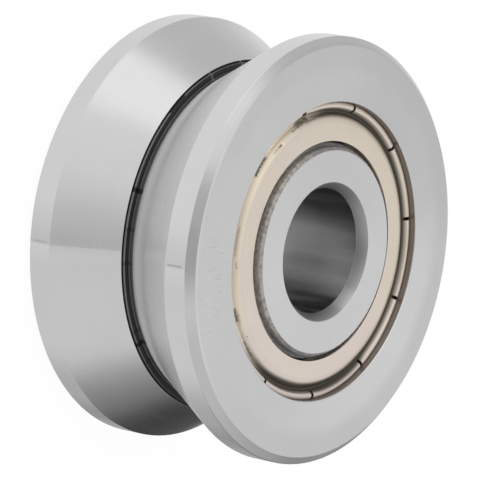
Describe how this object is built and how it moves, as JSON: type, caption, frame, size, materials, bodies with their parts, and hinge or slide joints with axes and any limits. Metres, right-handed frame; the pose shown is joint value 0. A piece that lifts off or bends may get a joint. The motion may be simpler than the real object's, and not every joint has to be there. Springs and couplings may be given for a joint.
{
  "type": "v groove wheel",
  "caption": "Steel track wheel with a wide V groove round its rim, running on its own shielded ball bearing with a plain bore.",
  "frame": {"origin": "the wheel's centre, on its axis midway between its end faces", "axes": "+Z along the wheel's axis; the wheel stands on its lower end face"},
  "size_m": [0.041, 0.041, 0.02],
  "materials": {
    "ring_steel": "turned and ground bearing steel",
    "shield_plate": "pressed sheet steel with a pale yellow passivated plating",
    "ball_steel": "polished bearing steel",
    "cage_nylon": "moulded natural nylon"
  },
  "bodies": {
    "inner_ring": {"inner_ring": "ring_steel"},
    "wheel": {"outer_ring": "ring_steel", "shield_upper": "shield_plate", "shield_lower": "shield_plate"},
    "cage_upper": {"cage_upper": "cage_nylon"},
    "cage_lower": {"cage_lower": "cage_nylon"},
    "ball_upper_1": {"ball_upper_1": "ball_steel"},
    "ball_upper_2": {"ball_upper_2": "ball_steel"},
    "ball_upper_3": {"ball_upper_3": "ball_steel"},
    "ball_upper_4": {"ball_upper_4": "ball_steel"},
    "ball_upper_5": {"ball_upper_5": "ball_steel"},
    "ball_upper_6": {"ball_upper_6": "ball_steel"},
    "ball_upper_7": {"ball_upper_7": "ball_steel"},
    "ball_upper_8": {"ball_upper_8": "ball_steel"},
    "ball_lower_1": {"ball_lower_1": "ball_steel"},
    "ball_lower_2": {"ball_lower_2": "ball_steel"},
    "ball_lower_3": {"ball_lower_3": "ball_steel"},
    "ball_lower_4": {"ball_lower_4": "ball_steel"},
    "ball_lower_5": {"ball_lower_5": "ball_steel"},
    "ball_lower_6": {"ball_lower_6": "ball_steel"},
    "ball_lower_7": {"ball_lower_7": "ball_steel"},
    "ball_lower_8": {"ball_lower_8": "ball_steel"}
  },
  "joints": [
    {"name": "wheel_spin", "type": "hinge", "parent": "inner_ring", "child": "wheel", "pos_m": [0, 0, 0], "axis": [0, 0, 1], "continuous": true},
    {"name": "cage_upper_spin", "type": "hinge", "parent": "inner_ring", "child": "cage_upper", "pos_m": [0, 0, 0], "axis": [0, 0, 1], "continuous": true},
    {"name": "cage_lower_spin", "type": "hinge", "parent": "inner_ring", "child": "cage_lower", "pos_m": [0, 0, 0], "axis": [0, 0, 1], "continuous": true},
    {"name": "ball_upper_1_spin", "type": "hinge", "parent": "cage_upper", "child": "ball_upper_1", "pos_m": [0.01185, 0, 0.00398], "axis": [0, 0, 1], "continuous": true},
    {"name": "ball_upper_2_spin", "type": "hinge", "parent": "cage_upper", "child": "ball_upper_2", "pos_m": [0.00838, 0.00838, 0.00398], "axis": [0, 0, 1], "continuous": true},
    {"name": "ball_upper_3_spin", "type": "hinge", "parent": "cage_upper", "child": "ball_upper_3", "pos_m": [0, 0.01185, 0.00398], "axis": [0, 0, 1], "continuous": true},
    {"name": "ball_upper_4_spin", "type": "hinge", "parent": "cage_upper", "child": "ball_upper_4", "pos_m": [-0.00838, 0.00838, 0.00398], "axis": [0, 0, 1], "continuous": true},
    {"name": "ball_upper_5_spin", "type": "hinge", "parent": "cage_upper", "child": "ball_upper_5", "pos_m": [-0.01185, 0, 0.00398], "axis": [0, 0, 1], "continuous": true},
    {"name": "ball_upper_6_spin", "type": "hinge", "parent": "cage_upper", "child": "ball_upper_6", "pos_m": [-0.00838, -0.00838, 0.00398], "axis": [0, 0, 1], "continuous": true},
    {"name": "ball_upper_7_spin", "type": "hinge", "parent": "cage_upper", "child": "ball_upper_7", "pos_m": [0, -0.01185, 0.00398], "axis": [0, 0, 1], "continuous": true},
    {"name": "ball_upper_8_spin", "type": "hinge", "parent": "cage_upper", "child": "ball_upper_8", "pos_m": [0.00838, -0.00838, 0.00398], "axis": [0, 0, 1], "continuous": true},
    {"name": "ball_lower_1_spin", "type": "hinge", "parent": "cage_lower", "child": "ball_lower_1", "pos_m": [0.01095, 0.00453, -0.00398], "axis": [0, 0, 1], "continuous": true},
    {"name": "ball_lower_2_spin", "type": "hinge", "parent": "cage_lower", "child": "ball_lower_2", "pos_m": [0.00453, 0.01095, -0.00398], "axis": [0, 0, 1], "continuous": true},
    {"name": "ball_lower_3_spin", "type": "hinge", "parent": "cage_lower", "child": "ball_lower_3", "pos_m": [-0.00453, 0.01095, -0.00398], "axis": [0, 0, 1], "continuous": true},
    {"name": "ball_lower_4_spin", "type": "hinge", "parent": "cage_lower", "child": "ball_lower_4", "pos_m": [-0.01095, 0.00453, -0.00398], "axis": [0, 0, 1], "continuous": true},
    {"name": "ball_lower_5_spin", "type": "hinge", "parent": "cage_lower", "child": "ball_lower_5", "pos_m": [-0.01095, -0.00453, -0.00398], "axis": [0, 0, 1], "continuous": true},
    {"name": "ball_lower_6_spin", "type": "hinge", "parent": "cage_lower", "child": "ball_lower_6", "pos_m": [-0.00453, -0.01095, -0.00398], "axis": [0, 0, 1], "continuous": true},
    {"name": "ball_lower_7_spin", "type": "hinge", "parent": "cage_lower", "child": "ball_lower_7", "pos_m": [0.00453, -0.01095, -0.00398], "axis": [0, 0, 1], "continuous": true},
    {"name": "ball_lower_8_spin", "type": "hinge", "parent": "cage_lower", "child": "ball_lower_8", "pos_m": [0.01095, -0.00453, -0.00398], "axis": [0, 0, 1], "continuous": true}
  ],
  "couplings": [
    {"joint": "cage_upper_spin", "follows": "wheel_spin", "ratio": 0.61721},
    {"joint": "cage_lower_spin", "follows": "wheel_spin", "ratio": 0.61721},
    {"joint": "ball_upper_1_spin", "follows": "wheel_spin", "ratio": 2.0156},
    {"joint": "ball_upper_2_spin", "follows": "wheel_spin", "ratio": 2.0156},
    {"joint": "ball_upper_3_spin", "follows": "wheel_spin", "ratio": 2.0156},
    {"joint": "ball_upper_4_spin", "follows": "wheel_spin", "ratio": 2.0156},
    {"joint": "ball_upper_5_spin", "follows": "wheel_spin", "ratio": 2.0156},
    {"joint": "ball_upper_6_spin", "follows": "wheel_spin", "ratio": 2.0156},
    {"joint": "ball_upper_7_spin", "follows": "wheel_spin", "ratio": 2.0156},
    {"joint": "ball_upper_8_spin", "follows": "wheel_spin", "ratio": 2.0156},
    {"joint": "ball_lower_1_spin", "follows": "wheel_spin", "ratio": 2.0156},
    {"joint": "ball_lower_2_spin", "follows": "wheel_spin", "ratio": 2.0156},
    {"joint": "ball_lower_3_spin", "follows": "wheel_spin", "ratio": 2.0156},
    {"joint": "ball_lower_4_spin", "follows": "wheel_spin", "ratio": 2.0156},
    {"joint": "ball_lower_5_spin", "follows": "wheel_spin", "ratio": 2.0156},
    {"joint": "ball_lower_6_spin", "follows": "wheel_spin", "ratio": 2.0156},
    {"joint": "ball_lower_7_spin", "follows": "wheel_spin", "ratio": 2.0156},
    {"joint": "ball_lower_8_spin", "follows": "wheel_spin", "ratio": 2.0156}
  ]
}
